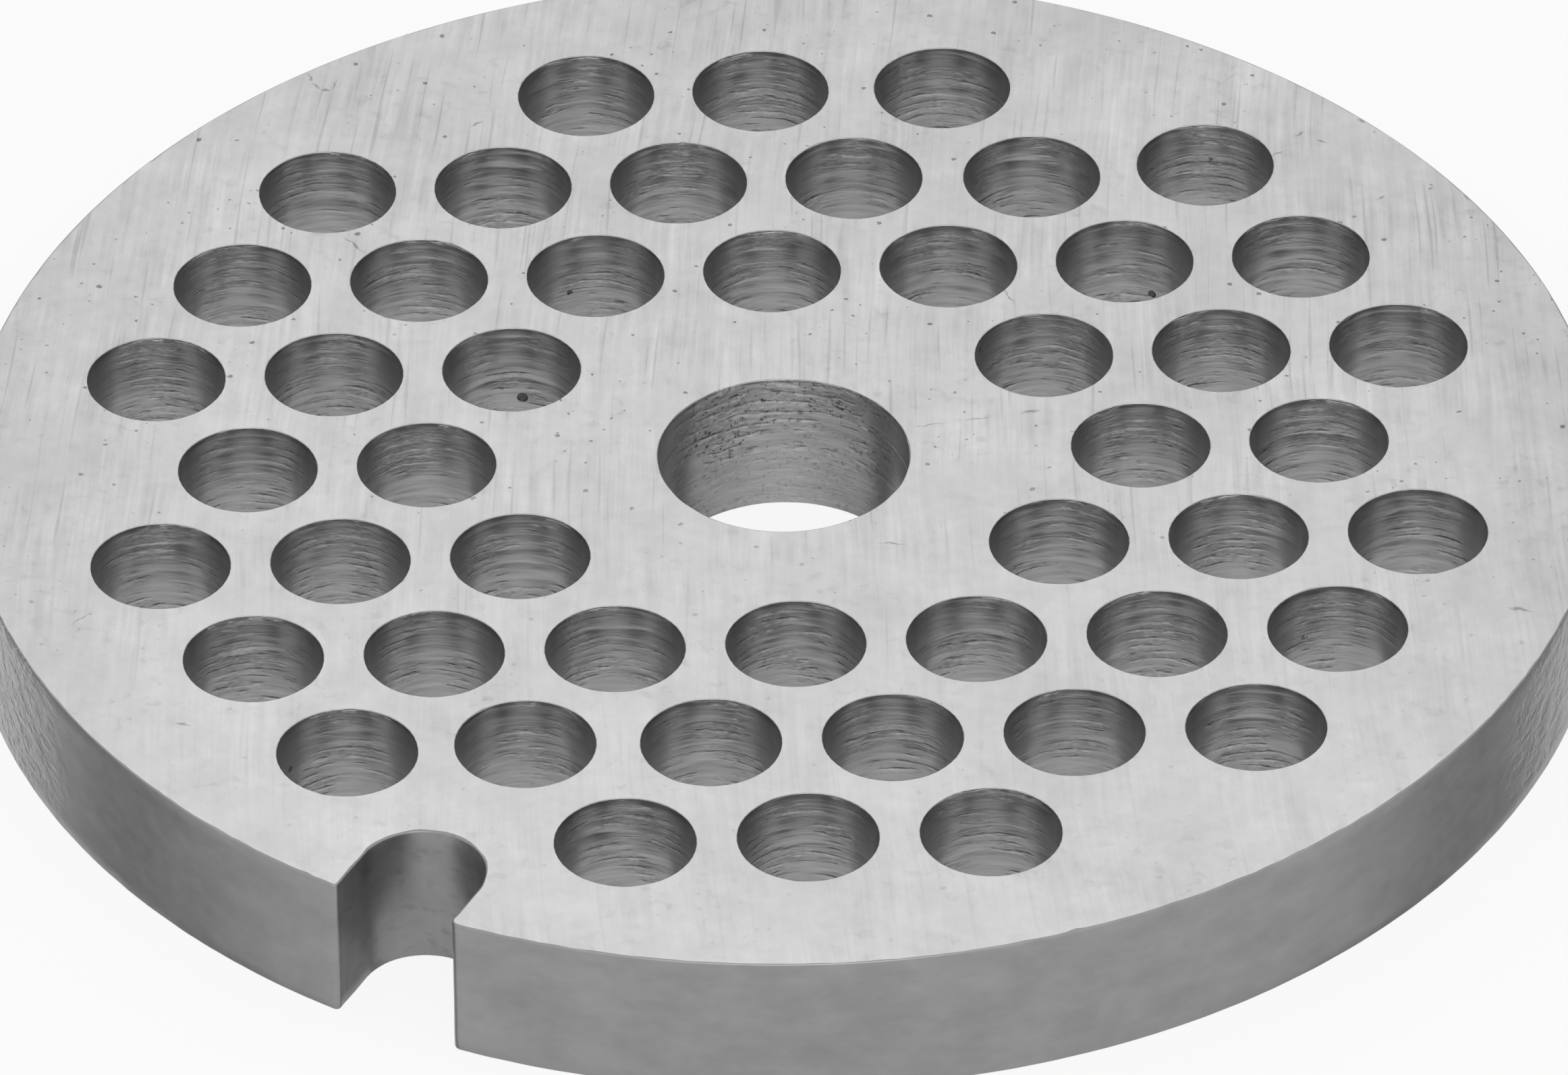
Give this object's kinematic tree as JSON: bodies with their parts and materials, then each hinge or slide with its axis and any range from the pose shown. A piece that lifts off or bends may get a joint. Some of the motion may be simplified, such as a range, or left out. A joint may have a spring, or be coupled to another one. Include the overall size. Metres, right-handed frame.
{
  "type": "meat grinder plate",
  "caption": "Round ground steel plate for a meat grinder: a central bore, a field of mincing holes on a triangular grid and a slot in the rim for the locating pin.",
  "frame": {"origin": "centre of the bore on the plate's back face", "axes": "+Z along the bore from the back face to the cutting face, and the key slot opens towards -Y"},
  "size_m": [0.0824, 0.0823, 0.0078],
  "materials": {
    "ground_steel": "satin"
  },
  "bodies": {
    "root": {"plate": "ground_steel"}
  },
  "joints": []
}
